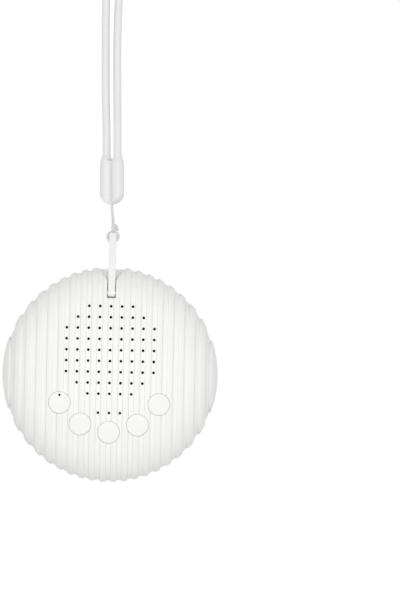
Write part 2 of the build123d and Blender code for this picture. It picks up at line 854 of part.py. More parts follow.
def route_radii(points):
    """Radius at each corner: 0.45 of the shorter run beside it over the tangent of half the turn."""
    corners = [Vector(*point) for point in points]
    radii = []
    for before, corner, after in zip(corners, corners[1:], corners[2:]):
        arrive, leave = corner - before, after - corner
        turn = radians(arrive.get_angle(leave))
        radii.append(0.45 * min(arrive.length, leave.length) / tan(turn / 2))
    return radii


def tube(name, points, diameter):
    """Round cord along straight runs joined by tangent arcs."""
    radii = route_radii(points)
    path = FilletPolyline(*points, radius=radii)
    section = Plane(origin=path @ 0, z_dir=path % 0) * Circle(diameter / 2)
    solid = sweep(section, path=path)
    stretch = pi * diameter ** 2 / 4 * path.length
    share = solid.volume / stretch
    print(f"{name}: length {path.length:.1f}, least radius {min(radii):.1f}, volume share {share:.4f}")
    return solid


def battery_leads():
    """Two wires from the cell's edge to the plug; a bend is its share of the run, the jog and the dip."""
    start_y = battery_centre_y - battery_size[1] / 2
    start_z = floor_height + tape_thickness + battery_size[2] / 2 + lead_diameter / 2
    x, y = connector_place
    end_z = board_bottom - connector_size[2] - plug_stand
    leads = []
    for side in (-1, 1):
        end_x = x + side * contact_offset
        points = [(end_x - battery_lead_jog, start_y, start_z)]
        for run, jog, dip in battery_lead_bends:
            points.append((
                end_x - jog * battery_lead_jog, start_y + run * (y - start_y),
                start_z - dip * battery_lead_dip
            ))
        points.append((end_x, y, end_z - glue_gap))
        leads.append(tube("battery lead", points, lead_diameter))
    return leads


def terminal_place(out, height, along=0.0):
    """Point at the speaker's terminal side: out from its axis, at a height, and along the terminal strip."""
    return (
        (out + along) * cos(pi / 4), grille_centre_y - (out - along) * sin(pi / 4), height
    )


def speaker_terminal():
    """Insulating strip under the frame's flange, where the leads are soldered."""
    thickness, length, height = terminal_size
    out = terminal_radius + thickness / 2
    top = speaker_top - frame_thickness
    strip = Box(thickness, length, height, align=(Align.CENTER, Align.CENTER, Align.MAX))
    return Pos(*terminal_place(out, top)) * Rot(0, 0, -45) * strip


def speaker_leads():
    """Two wires from the terminal strip down to the board."""
    leads = []
    start = terminal_radius + terminal_size[0]
    level = speaker_top - frame_thickness - terminal_size[2] * 0.7
    run = speaker_lead_run
    for side in (-1, 1):
        along = side * speaker_lead_pitch / 2
        x, y = speaker_pad_place[0] + side * speaker_pad_pitch / 2, speaker_pad_place[1]
        points = [
            terminal_place(start, level, along), terminal_place(start + run, level, along),
            (x + 0.1 * run, y + 0.9 * run, level - run), (x, y, board_top + 0.9 * run),
            (x, y, board_top + glue_gap),
        ]
        leads.append(tube("speaker lead", points, lead_diameter))
    return leads


# ---- strap

def along_band(x, s, n=0.0):
    """Point at a distance s from the pin along the band at rest, and n out of its plane."""
    y = pin_y + s * cos(band_slope) + n * sin(band_slope)
    return x, y, pin_height - s * sin(band_slope) + n * cos(band_slope)


def strap_link():
    """Soft flat band folded into a long eye: round the pin at one end, open for the string at the other."""
    def eye(radius):
        slot = SlotCenterToCenter(band_length, 2 * radius)
        return extrude(Pos(band_length / 2, 0) * slot, band_width / 2, both=True)

    downhill = (0, cos(band_slope), -sin(band_slope))
    lying = Plane(origin=(0, pin_y, pin_height), x_dir=downhill, z_dir=(1, 0, 0))
    return lying * (eye(eye_outer) - eye(eye_inner))


def strap_string():
    """Thin cord: a ring through the band's eye, crossed on itself, and a run up to the bullet."""
    top = band_length + eye_outer + string_end_gap + string_diameter / 2
    centre = top - string_ring_half_height
    spread = 1 / cos(pi / 8)
    points = [along_band(2.3, top + 1.7, -0.4), along_band(0.5, top + 0.9, -0.75)]
    for k in range(8):
        angle = radians(112.5 + 45.0 * k)
        lift = -0.35 + 0.1 * k
        points.append(along_band(
            string_ring_half_width * spread * cos(angle),
            centre + string_ring_half_height * spread * sin(angle), lift
        ))
    points += [along_band(-0.4, top + 1.1, 0.75), along_band(-0.05, top + 3.6, 0.6)]
    axis = bullet_plane()
    points += [
        (-0.25, bullet_start_y - 5.5, bullet_axis_height + 0.9), tuple(axis.from_local_coords((0, 0, -2.4))),
        tuple(axis.from_local_coords((0, 0, -glue_gap)))
    ]
    return tube("strap string", points, string_diameter)


def bullet_plane():
    """Placement of the bullet: it leans a little to one side and is turned about its long axis."""
    lean = radians(bullet_lean)
    turn = radians(bullet_turn)
    return Plane(
        origin=(bullet_start_x, bullet_start_y, bullet_axis_height),
        x_dir=(cos(turn) * cos(lean), -sin(lean) * cos(turn), sin(turn)), z_dir=(sin(lean), cos(lean), 0)
    )


def strap_bullet():
    """Moulded end of the wrist strap: two round lobes and a web, blunt at the string's end."""
    length = bullet_length
    strand = strand_diameter / 2
    lobe = revolve(
        make_face(Wire([edge.edge() for edge in (
            Line((0, 0, 0), (lobe_radius * 0.8, 0, 0)),
            ThreePointArc((lobe_radius * 0.8, 0, 0), (lobe_radius * 0.98, 0, 1.4), (lobe_radius, 0, 4.0)),
            Line((lobe_radius, 0, 4.0), (lobe_radius, 0, length * 0.69)),
            Spline(
                (lobe_radius, 0, length * 0.69), ((lobe_radius + strand) / 2 + 0.1, 0, length * 0.86),
                (strand, 0, length), tangents=((0, 0, 1), (0, 0, 1))
            ),
            Line((strand, 0, length), (0, 0, length)),
            Line((0, 0, length), (0, 0, 0)),
        )])),
        Axis.Z
    )
    lobes = [Pos(side * lobe_offset, 0, 0) * lobe for side in (-1, 1)]
    web = Box(2 * lobe_offset, web_thickness, length * 0.9, align=(Align.CENTER, Align.CENTER, Align.MIN))
    crotch = Pos(0, 0, length * 0.917) * Rot(90, 0, 0) * Cylinder(lobe_offset * 0.62, 2 * lobe_radius)
    reach = lobe_offset + lobe_radius
    blunt = revolve(
        make_face(Wire([edge.edge() for edge in (
            Line((0, 0, 0), (1.0, 0, 0)),
            ThreePointArc((1.0, 0, 0), (reach * 0.79, 0, 2.2), (reach + 0.1, 0, 6.8)),
            Line((reach + 0.1, 0, 6.8), (reach + 0.1, 0, length)),
            Line((reach + 0.1, 0, length), (0, 0, length)),
            Line((0, 0, length), (0, 0, 0)),
        )])),
        Axis.Z
    )
    body = ((lobes[0] + lobes[1] + web) & blunt) - crotch
    return bullet_plane() * body


def strand_point(side, beyond):
    """Point on the axis of one strand, a distance beyond the bullet's end."""
    return tuple(bullet_plane().from_local_coords((side * lobe_offset, 0, bullet_length + beyond)))


def wrist_loop():
    """Round strand out of one lobe, round in a wide bend and back into the other."""
    low = strand_diameter / 2 + 0.05
    near, far = strand_point(-1, glue_gap), strand_point(1, glue_gap)
    left, right = near[0], far[0]
    points = [
        near, strand_point(-1, strand_run), (left - 0.9, 117.0, low), (left - 1.5, 142.0, low),
        (left - 1.6, 170.0, low), (left - 4.5, 196.0, low), (left - 8.8, 216.0, low),
        (left - 6.9, 231.0, low), ((left + right) / 2 - 1.6, 237.5, low), (right + 4.3, 232.0, low),
        (right + 6.5, 216.5, low), (right + 2.1, 196.5, low), (right - 0.5, 170.5, low),
        (right - 1.2, 142.5, low), (right - 0.6, 117.5, low + 0.8), strand_point(1, strand_run + 0.5), far,
    ]
    return tube("wrist loop", points, strand_diameter)


parts = {
    "front_shell": front_shell(),
    "rear_shell": rear_shell(),
    "base_pad": base_pad(),
    "circuit_board": circuit_board(),
    "key_switches": key_switches(),
    "indicator_leds": indicator_leds(),
    "light_guides": light_guides(),
    "controller_chip": chip(controller_size, controller_place),
    "amplifier_chip": chip(amplifier_size, amplifier_place),
    "usb_socket": usb_socket(),
    "battery_cell": battery_cell(),
    "battery_tape": battery_tape(),
    "battery_connector": battery_connector(),
    "battery_plug": battery_plug(),
    "battery_leads": battery_leads(),
    "speaker_leads": speaker_leads(),
    "speaker_basket": speaker_basket(),
    "speaker_terminal": speaker_terminal(),
    "speaker_gasket": speaker_gasket(),
    "speaker_surround": speaker_surround(),
    "speaker_cone": speaker_cone(),
    "dust_cap": dust_cap(),
    "voice_coil": voice_coil(),
    "speaker_spider": speaker_spider(),
    "speaker_top_plate": speaker_top_plate(),
    "speaker_magnet": speaker_magnet(),
    "speaker_yoke": speaker_yoke(),
    "dust_cloth": dust_cloth(),
    "case_screws": case_screws(),
    "board_screws": board_screws(),
    "speaker_screws": speaker_screws(),
    "strap_pin": pin_bar(pin_radius),
    "strap_link": strap_link(),
    "strap_string": strap_string(),
    "strap_bullet": strap_bullet(),
    "wrist_loop": wrist_loop(),
}
for number, name in enumerate(button_names):
    parts[f"button_{name}"] = button(number)
    parts[f"key_plunger_{name}"] = key_plunger(number)

os.makedirs("parts", exist_ok=True)
for node, shape in parts.items():
    solid = Compound(children=shape) if isinstance(shape, list) else shape
    export_step(solid, f"parts/{node}.step")
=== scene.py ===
import bpy
import json
from math import asin, cos, hypot, pi, radians, sin, sqrt, tan
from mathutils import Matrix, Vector
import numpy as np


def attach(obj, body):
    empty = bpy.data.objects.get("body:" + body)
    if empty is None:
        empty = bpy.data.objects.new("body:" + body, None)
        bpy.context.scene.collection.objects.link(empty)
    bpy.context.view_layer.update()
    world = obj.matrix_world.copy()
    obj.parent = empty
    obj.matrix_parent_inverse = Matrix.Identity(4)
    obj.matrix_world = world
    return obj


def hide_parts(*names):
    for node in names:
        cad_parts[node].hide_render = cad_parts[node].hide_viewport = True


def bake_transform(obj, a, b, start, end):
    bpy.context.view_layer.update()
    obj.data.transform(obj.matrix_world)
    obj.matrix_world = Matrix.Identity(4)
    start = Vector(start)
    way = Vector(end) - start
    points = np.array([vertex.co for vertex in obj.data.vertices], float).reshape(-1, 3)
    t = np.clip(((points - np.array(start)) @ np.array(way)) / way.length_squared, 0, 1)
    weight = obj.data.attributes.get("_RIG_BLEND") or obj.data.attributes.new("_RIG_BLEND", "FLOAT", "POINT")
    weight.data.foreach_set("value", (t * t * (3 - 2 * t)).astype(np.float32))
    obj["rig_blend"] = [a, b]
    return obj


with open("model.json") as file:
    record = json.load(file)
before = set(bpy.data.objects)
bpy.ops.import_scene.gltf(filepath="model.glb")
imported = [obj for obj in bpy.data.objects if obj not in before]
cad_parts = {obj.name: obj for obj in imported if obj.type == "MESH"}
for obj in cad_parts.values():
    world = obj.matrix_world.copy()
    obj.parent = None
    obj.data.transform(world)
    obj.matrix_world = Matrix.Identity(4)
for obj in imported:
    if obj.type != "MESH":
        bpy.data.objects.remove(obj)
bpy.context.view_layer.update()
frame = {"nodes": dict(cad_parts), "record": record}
mm = 0.001

# Sizes are in millimetres. The machine lies on its back: +Z comes out of its face, +Y points to the strap.

case = {
    "radius": 45.0, "seam": 14.5, "edge": 16.0, "crown": 120.0, "wall": 1.6,
    "ribPitch": 4.56, "ribDepth": 0.7, "lastValley": 9, "rows": 96,
    "rimColumns": (43.9, 44.35, 44.7, 44.88, 44.96, 44.99, 45.0),  # past the last rib, to a point on the rim
    "insideSteps": (16, 8), "belowSeam": 2.0,
}
edgeCentre = case["radius"] - case["edge"]
crownTurn = asin(edgeCentre / (case["crown"] - case["edge"]))
crownCentre = case["seam"] - (case["crown"] - case["edge"]) * cos(crownTurn)
innerDepth = case["ribDepth"] + case["wall"]
farBelow, farAbove = 20.0, 60.0  # ends of a tool that cuts right through the shell
mergeDistance = 0.002


def clearSelection():
    if bpy.context.object and bpy.context.object.mode != "OBJECT":
        bpy.ops.object.mode_set(mode="OBJECT")
    bpy.ops.object.select_all(action="DESELECT")


def pickOnly(piece):
    clearSelection()
    piece.select_set(True)
    bpy.context.view_layer.objects.active = piece


def editAll(piece):
    pickOnly(piece)
    bpy.ops.object.mode_set(mode="EDIT")
    bpy.ops.mesh.select_all(action="SELECT")


def closeMesh(piece):  # merges doubles and turns the faces outwards
    editAll(piece)
    bpy.ops.mesh.remove_doubles(threshold=mergeDistance * mm)
    bpy.ops.mesh.normals_make_consistent(inside=False)
    bpy.ops.object.mode_set(mode="OBJECT")


def applyModifier(piece, kind, **settings):
    pickOnly(piece)
    modifier = piece.modifiers.new(kind.title(), kind)
    for key, value in settings.items():
        setattr(modifier, key, value)
    bpy.ops.object.modifier_apply(modifier=modifier.name)


def carve(piece, tool):
    applyModifier(piece, "BOOLEAN", object=tool, operation="DIFFERENCE", solver="MANIFOLD")
    bpy.data.objects.remove(tool)


def fromPoints(name, points, edges=(), faces=()):
    mesh = bpy.data.meshes.new(name)
    mesh.from_pydata([Vector(point) * mm for point in points], list(edges), list(faces))
    piece = bpy.data.objects.new(name, mesh)
    bpy.context.scene.collection.objects.link(piece)
    return piece


def turned(name, outline, steps=96):  # spins an outline of (radius, height) about Z
    edges = [(k, k + 1) for k in range(len(outline) - 1)]
    piece = fromPoints(name, [(r, 0, z) for r, z in outline], edges)
    editAll(piece)
    bpy.ops.mesh.spin(steps=steps, angle=2 * pi, center=(0, 0, 0), axis=(0, 0, 1))
    bpy.ops.object.mode_set(mode="OBJECT")
    closeMesh(piece)
    return piece


def prism(name, outline, half):  # outline of (y, height), pushed out along X both ways
    piece = fromPoints(name, [(-half, y, z) for y, z in outline], faces=[range(len(outline))])
    editAll(piece)
    bpy.ops.mesh.extrude_region_move(TRANSFORM_OT_translate={"value": (2 * half * mm, 0, 0)})
    bpy.ops.object.mode_set(mode="OBJECT")
    closeMesh(piece)
    return piece


def posts(name, places, radius, low, high, sides=32):  # upright round bars in one mesh
    clearSelection()
    for k, (x, y) in enumerate(places):
        bpy.ops.mesh.primitive_cylinder_add(
            vertices=sides, radius=radius * mm, depth=(high - low) * mm,
            location=(x * mm, y * mm, (low + high) / 2 * mm)
        )
        if k == 0:
            piece = settle(bpy.context.object, name)
            editAll(piece)
    bpy.ops.object.mode_set(mode="OBJECT")
    return piece


def settle(piece, name):
    pickOnly(piece)
    bpy.ops.object.transform_apply(location=True, rotation=True, scale=True)
    piece.name = name
    piece.data.name = name
    return piece


def finishPiece(piece, name, body, slotName, *nodes, smooth=40):
    settle(piece, name)
    bpy.ops.object.shade_smooth_by_angle(angle=radians(smooth))
    piece.data.materials.clear()
    piece.data.materials.append(finishOf(slotName))
    if body:
        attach(piece, body)
    if nodes:
        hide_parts(*nodes)
    return piece


def envelopeHeight(radius, depth=0.0):  # of the dome at a radius, or of a surface at that depth inside it
    if radius < (case["crown"] - depth) * sin(crownTurn):
        return crownCentre + sqrt((case["crown"] - depth) ** 2 - radius ** 2)
    edge = case["edge"] - depth
    across = min(radius - edgeCentre, edge)
    return case["seam"] + sqrt(max(edge ** 2 - across ** 2, 0.0))


camera = {
    "lens": 600.0, "sensor": 36.0, "frameHeight": 250.9, "focusHeight": case["seam"],
    "right": 37.6, "up": 31.15, "roll": 1.2, "clipEnd": 20.0,
}


def addCamera():
    roll = radians(camera["roll"])
    distance = camera["frameHeight"] * camera["lens"] / camera["sensor"]
    x = camera["right"] * cos(roll) - camera["up"] * sin(roll)
    y = camera["right"] * sin(roll) + camera["up"] * cos(roll)
    lens = bpy.data.cameras.new("viewCamera")
    lens.lens = camera["lens"]
    lens.sensor_width = camera["sensor"]
    lens.clip_end = camera["clipEnd"]
    holder = bpy.data.objects.new("viewCamera", lens)
    holder.location = Vector((x, y, camera["focusHeight"] + distance)) * mm
    holder.rotation_euler = (0, 0, roll)
    bpy.context.scene.collection.objects.link(holder)
    bpy.context.scene.camera = holder


addCamera()
print("camera placed")


# For weave and plait patterns the second colour is painted shade, darker in the low places between threads;
# for lines and tracks it is the pattern's own colour.
finishValues = {  # colour, roughness, metal, grain size in mm, colour change, relief in mm
    "shell_white": {
        "colour": (0.87, 0.87, 0.86), "rough": 0.42, "grain": 0.35, "change": 0.02, "relief": 0.006,
    },
    "button_white": {
        "colour": (0.90, 0.90, 0.89), "rough": 0.48, "grain": 0.45, "change": 0.05, "relief": 0.06,
    },
    "band_white": {
        "colour": (0.90, 0.90, 0.90), "rough": 0.55, "grain": 0.25, "change": 0.02, "relief": 0.010,
    },
    "bullet_grey": {
        "colour": (0.80, 0.80, 0.80), "rough": 0.5, "grain": 0.3, "change": 0.03, "relief": 0.008,
    },
    "cord_white": {
        "colour": (0.82, 0.82, 0.81), "rough": 0.8, "grain": 0.12, "change": 0.05, "relief": 0.01,
        "pattern": "plait", "second": (0.68, 0.68, 0.67), "patternRelief": 0.05,
    },
    "pad_grey": {"colour": (0.55, 0.55, 0.55), "rough": 0.8, "grain": 0.25, "change": 0.10, "relief": 0.04},
    "board_green": {
        "colour": (0.03, 0.22, 0.10), "rough": 0.3, "grain": 0.6, "change": 0.15, "relief": 0.01,
        "pattern": "tracks", "second": (0.08, 0.36, 0.16), "patternRelief": 0.03, "pitch": 1.6,
    },
    "part_black": {"colour": (0.03, 0.03, 0.03), "rough": 0.5, "grain": 0.2, "change": 0.10, "relief": 0.006},
    "light_smoked": {
        "colour": (0.006, 0.006, 0.007), "rough": 0.15, "gloss": 0.1,
        "grain": 0.8, "change": 0.05, "relief": 0.002,
    },
    "led_yellow": {
        "colour": (0.85, 0.80, 0.45), "rough": 0.25, "grain": 0.3, "change": 0.05, "relief": 0.004,
    },
    "steel": {
        "colour": (0.62, 0.62, 0.62), "rough": 0.3, "metal": 1.0,
        "grain": 0.1, "change": 0.08, "relief": 0.003,
        "pattern": "lines", "second": (0.48, 0.48, 0.48), "patternRelief": 0.006, "stretch": (0.4, 12.0, 0.4),
    },
    "nickel": {
        "colour": (0.72, 0.71, 0.68), "rough": 0.2, "metal": 1.0,
        "grain": 0.3, "change": 0.05, "relief": 0.003,
        "pattern": "lines", "second": (0.60, 0.59, 0.56), "patternRelief": 0.004, "stretch": (9.0, 0.3, 9.0),
    },
    "foil_silver": {
        "colour": (0.70, 0.71, 0.73), "rough": 0.35, "metal": 0.8,
        "grain": 1.5, "change": 0.06, "relief": 0.06,
        "pattern": "weave", "second": (0.62, 0.63, 0.65), "patternRelief": 0.02, "pitch": 0.9,
    },
    "foam_grey": {"colour": (0.35, 0.35, 0.36), "rough": 0.95, "grain": 0.35, "change": 0.35, "relief": 0.15},
    "connector_cream": {
        "colour": (0.80, 0.76, 0.64), "rough": 0.45, "grain": 0.3, "change": 0.03, "relief": 0.004,
    },
    "wire_red": {"colour": (0.60, 0.03, 0.03), "rough": 0.4, "grain": 0.4, "change": 0.05, "relief": 0.006},
    "wire_black": {"colour": (0.04, 0.04, 0.04), "rough": 0.4, "grain": 0.4, "change": 0.05, "relief": 0.006},
    "strip_brown": {
        "colour": (0.30, 0.16, 0.07), "rough": 0.6, "grain": 0.3, "change": 0.20, "relief": 0.01,
        "pattern": "weave", "second": (0.24, 0.12, 0.05), "patternRelief": 0.01, "pitch": 0.3,
    },
    "basket_black": {
        "colour": (0.05, 0.05, 0.055), "rough": 0.4, "grain": 0.25, "change": 0.10, "relief": 0.01,
    },
    "cone_black": {
        "colour": (0.05, 0.05, 0.05), "rough": 0.85, "grain": 0.3, "change": 0.30, "relief": 0.04,
        "pattern": "lines", "second": (0.08, 0.08, 0.08), "patternRelief": 0.03, "stretch": (1.5, 4.0, 1.0),
    },
    "roll_black": {"colour": (0.04, 0.04, 0.04), "rough": 0.6, "grain": 0.2, "change": 0.10, "relief": 0.008},
    "coil_copper": {
        "colour": (0.72, 0.38, 0.20), "rough": 0.3, "metal": 1.0,
        "grain": 0.1, "change": 0.10, "relief": 0.004,
        "pattern": "lines", "second": (0.45, 0.20, 0.09), "patternRelief": 0.03, "stretch": (0.1, 0.1, 9.0),
    },
    "spider_yellow": {
        "colour": (0.62, 0.42, 0.12), "rough": 0.9, "grain": 0.25, "change": 0.15, "relief": 0.01,
        "pattern": "weave", "second": (0.34, 0.21, 0.05), "patternRelief": 0.08, "pitch": 0.35,
    },
    "ferrite": {"colour": (0.10, 0.10, 0.10), "rough": 0.7, "grain": 0.2, "change": 0.30, "relief": 0.03},
    "cloth_black": {
        "colour": (0.015, 0.015, 0.015), "rough": 0.95, "gloss": 0.2,
        "grain": 0.2, "change": 0.20, "relief": 0.01,
        "pattern": "weave", "second": (0.006, 0.006, 0.006), "patternRelief": 0.10, "pitch": 0.25,
    },
}


def addSockets(group, direction, sockets):
    for name, kind, value in sockets:
        socket = group.interface.new_socket(name, in_out=direction, socket_type=kind)
        if value is not None:
            socket.default_value = value


def newGroup(name, sockets):  # every pattern group takes a place and gives a mask and a height
    group = bpy.data.node_groups.new(name, "ShaderNodeTree")
    addSockets(group, "INPUT", [("Place", "NodeSocketVector", None), *sockets])
    addSockets(group, "OUTPUT", [("Mask", "NodeSocketFloat", None), ("Height", "NodeSocketFloat", None)])
    return group, group.nodes.new("NodeGroupInput"), group.nodes.new("NodeGroupOutput")


def maths(tree, operation, *values):  # a Math node fed with sockets or numbers
    node = tree.nodes.new("ShaderNodeMath")
    node.operation = operation
    for socket, value in zip(node.inputs, values):
        if isinstance(value, (int, float)):
            socket.default_value = value
        else:
            tree.links.new(value, socket)
    return node.outputs[0]


def makeWeaveGroup():  # plain weave over X and Y: threads lie over and under each other in turn; its mask is painted shade, darker where a thread dips low
    group, source, result = newGroup("wovenThreadsWithShade", [("Pitch", "NodeSocketFloat", 0.001)])
    parts = group.nodes.new("ShaderNodeSeparateXYZ")
    group.links.new(source.outputs["Place"], parts.inputs[0])
    cells = [maths(group, "DIVIDE", parts.outputs[axis], source.outputs["Pitch"]) for axis in ("X", "Y")]
    waves = [maths(group, "SINE", maths(group, "MULTIPLY", cell, pi)) for cell in cells]
    humps = [maths(group, "ABSOLUTE", wave) for wave in waves]
    steps = maths(group, "ADD", *[maths(group, "FLOOR", cell) for cell in cells])
    over = maths(group, "MULTIPLY", maths(group, "FRACT", maths(group, "MULTIPLY", steps, 0.5)), 2.0)
    threads = []
    for across, along in (humps, reversed(humps)):
        threads.append(maths(group, "MULTIPLY", across, maths(group, "MULTIPLY_ADD", along, 0.5, 0.5)))
    change = maths(group, "SUBTRACT", threads[1], threads[0])
    height = maths(group, "MULTIPLY_ADD", change, over, threads[0])
    group.links.new(height, result.inputs["Height"])
    # painted shade: the mask is one minus the height, so the low places between threads take the darker
    # second colour
    group.links.new(maths(group, "SUBTRACT", 1.0, height), result.inputs["Mask"])
    return group


def makeLinesGroup():  # noise drawn out along one way, as brushing, winding or fibres leave it
    group, source, result = newGroup("drawnLines", [("Stretch", "NodeSocketVector", (1, 1, 1))])
    scaled = group.nodes.new("ShaderNodeVectorMath")
    scaled.operation = "MULTIPLY"
    group.links.new(source.outputs["Place"], scaled.inputs[0])
    group.links.new(source.outputs["Stretch"], scaled.inputs[1])
    noise = group.nodes.new("ShaderNodeTexNoise")
    noise.inputs["Scale"].default_value = 1.0
    noise.inputs["Detail"].default_value = 4.0
    group.links.new(scaled.outputs[0], noise.inputs["Vector"])
    group.links.new(noise.outputs["Fac"], result.inputs["Mask"])
    group.links.new(noise.outputs["Fac"], result.inputs["Height"])
    return group


tracks = {"offset": 0.37, "squash": 0.6, "every": 3, "width": 0.06, "softness": 0.3}


def makeTracksGroup():  # copper tracks under the board's lacquer
    group, source, result = newGroup("boardTracks", [("Pitch", "NodeSocketFloat", 0.001)])
    bricks = group.nodes.new("ShaderNodeTexBrick")
    bricks.offset = tracks["offset"]
    bricks.squash = tracks["squash"]
    bricks.squash_frequency = tracks["every"]
    bricks.inputs["Mortar Size"].default_value = tracks["width"]
    bricks.inputs["Mortar Smooth"].default_value = tracks["softness"]
    group.links.new(source.outputs["Place"], bricks.inputs["Vector"])
    group.links.new(maths(group, "DIVIDE", 1.0, source.outputs["Pitch"]), bricks.inputs["Scale"])
    group.links.new(bricks.outputs["Fac"], result.inputs["Mask"])
    group.links.new(bricks.outputs["Fac"], result.inputs["Height"])
    return group


grainShape = {"slowScale": 0.06, "tintFrom": 0.6, "tintTo": 1.4, "roughSpread": 0.12}


def makeGrainGroup():  # fine grain with a slow change of colour over it
    group = bpy.data.node_groups.new("mouldedGrain", "ShaderNodeTree")
    addSockets(group, "INPUT", [
        ("Place", "NodeSocketVector", None), ("Colour", "NodeSocketColor", (0.8, 0.8, 0.8, 1)),
        ("Grain scale", "NodeSocketFloat", 3000.0), ("Change", "NodeSocketFloat", 0.05),
        ("Roughness", "NodeSocketFloat", 0.5),
    ])
    addSockets(group, "OUTPUT", [
        ("Colour", "NodeSocketColor", None), ("Roughness", "NodeSocketFloat", None),
        ("Height", "NodeSocketFloat", None),
    ])
    nodes, links = group.nodes, group.links
    source, result = nodes.new("NodeGroupInput"), nodes.new("NodeGroupOutput")
    fine, slow = nodes.new("ShaderNodeTexNoise"), nodes.new("ShaderNodeTexNoise")
    fine.inputs["Detail"].default_value = 3.0
    slow.inputs["Detail"].default_value = 2.0
    slowScale = maths(group, "MULTIPLY", source.outputs["Grain scale"], grainShape["slowScale"])
    links.new(slowScale, slow.inputs["Scale"])
    links.new(source.outputs["Grain scale"], fine.inputs["Scale"])
    for noise in (fine, slow):
        links.new(source.outputs["Place"], noise.inputs["Vector"])
    tint = nodes.new("ShaderNodeMapRange")
    tint.inputs["From Min"].default_value = grainShape["tintFrom"]
    tint.inputs["From Max"].default_value = grainShape["tintTo"]
    links.new(maths(group, "ADD", fine.outputs["Fac"], slow.outputs["Fac"]), tint.inputs["Value"])
    mix = nodes.new("ShaderNodeMix")
    mix.data_type = "RGBA"
    mix.blend_type = "MULTIPLY"
    links.new(source.outputs["Change"], mix.inputs["Factor"])
    links.new(source.outputs["Colour"], mix.inputs["A"])
    links.new(tint.outputs["Result"], mix.inputs["B"])
    links.new(mix.outputs["Result"], result.inputs["Colour"])
    spread = maths(
        group, "MULTIPLY_ADD", slow.outputs["Fac"], grainShape["roughSpread"], source.outputs["Roughness"]
    )
    links.new(spread, result.inputs["Roughness"])
    links.new(fine.outputs["Fac"], result.inputs["Height"])
    return group


grainGroup = makeGrainGroup()
patternGroups = {"weave": makeWeaveGroup(), "lines": makeLinesGroup(), "tracks": makeTracksGroup()}
patternGroups["plait"] = patternGroups["weave"]
plait = {"along": 60, "around": 5}  # crossings along a cord's whole length, and round it


def addPattern(tree, values, place, grain, bump):
    pattern = tree.nodes.new("ShaderNodeGroup")
    pattern.node_tree = patternGroups[values["pattern"]]
    if values["pattern"] == "plait":
        diagonal = tree.nodes.new("ShaderNodeMapping")
        diagonal.inputs["Rotation"].default_value = (0, 0, pi / 4)
        diagonal.inputs["Scale"].default_value = (plait["along"] * sqrt(2), plait["around"] * sqrt(2), 1)
        tree.links.new(place.outputs["UV"], diagonal.inputs["Vector"])
        tree.links.new(diagonal.outputs[0], pattern.inputs["Place"])
        pattern.inputs["Pitch"].default_value = 1.0
    else:
        tree.links.new(place.outputs["Object"], pattern.inputs["Place"])
    if "pitch" in values:
        pattern.inputs["Pitch"].default_value = values["pitch"] * mm
    if "stretch" in values:
        pattern.inputs["Stretch"].default_value = [value / mm for value in values["stretch"]]
    # the second colour is the pattern's own colour for lines and tracks, and painted shade in the hollows of
    # weave and plait
    mix = tree.nodes.new("ShaderNodeMix")
    mix.data_type = "RGBA"
    mix.inputs["A"].default_value = (*values["colour"], 1)
    mix.inputs["B"].default_value = (*values["second"], 1)
    tree.links.new(pattern.outputs["Mask"], mix.inputs["Factor"])
    tree.links.new(mix.outputs["Result"], grain.inputs["Colour"])
    relief = tree.nodes.new("ShaderNodeBump")
    relief.inputs["Distance"].default_value = values["patternRelief"] * mm
    tree.links.new(pattern.outputs["Height"], relief.inputs["Height"])
    tree.links.new(relief.outputs["Normal"], bump.inputs["Normal"])


finishes = {}


def finishOf(slotName):
    if slotName in finishes:
        return finishes[slotName]
    bpy.data.materials.remove(bpy.data.materials[slotName])  # the frame's plain colour of that name
    values = finishValues[slotName]
    material = finishes[slotName] = bpy.data.materials.new(slotName)
    material.use_nodes = True
    tree = material.node_tree
    nodes, links = tree.nodes, tree.links
    shader = nodes["Principled BSDF"]
    place = nodes.new("ShaderNodeTexCoord")
    grain = nodes.new("ShaderNodeGroup")
    grain.node_tree = grainGroup
    grain.inputs["Colour"].default_value = (*values["colour"], 1)
    grain.inputs["Grain scale"].default_value = 1 / (values["grain"] * mm)
    grain.inputs["Change"].default_value = values["change"]
    grain.inputs["Roughness"].default_value = values["rough"]
    bump = nodes.new("ShaderNodeBump")
    bump.inputs["Distance"].default_value = values["relief"] * mm
    links.new(place.outputs["Object"], grain.inputs["Place"])
    links.new(grain.outputs["Colour"], shader.inputs["Base Color"])
    links.new(grain.outputs["Roughness"], shader.inputs["Roughness"])
    links.new(grain.outputs["Height"], bump.inputs["Height"])
    links.new(bump.outputs["Normal"], shader.inputs["Normal"])
    shader.inputs["Metallic"].default_value = values.get("metal", 0.0)
    shader.inputs["Specular IOR Level"].default_value = values.get("gloss", 0.5)
    if "pattern" in values:
        addPattern(tree, values, place, grain, bump)
    return material


for row in frame["record"]["subparts"]:
    node = frame["nodes"][row["node"]]
    node.data.materials.clear()
    node.data.materials.append(finishOf(row["material_slot"]))
print("finishes made")


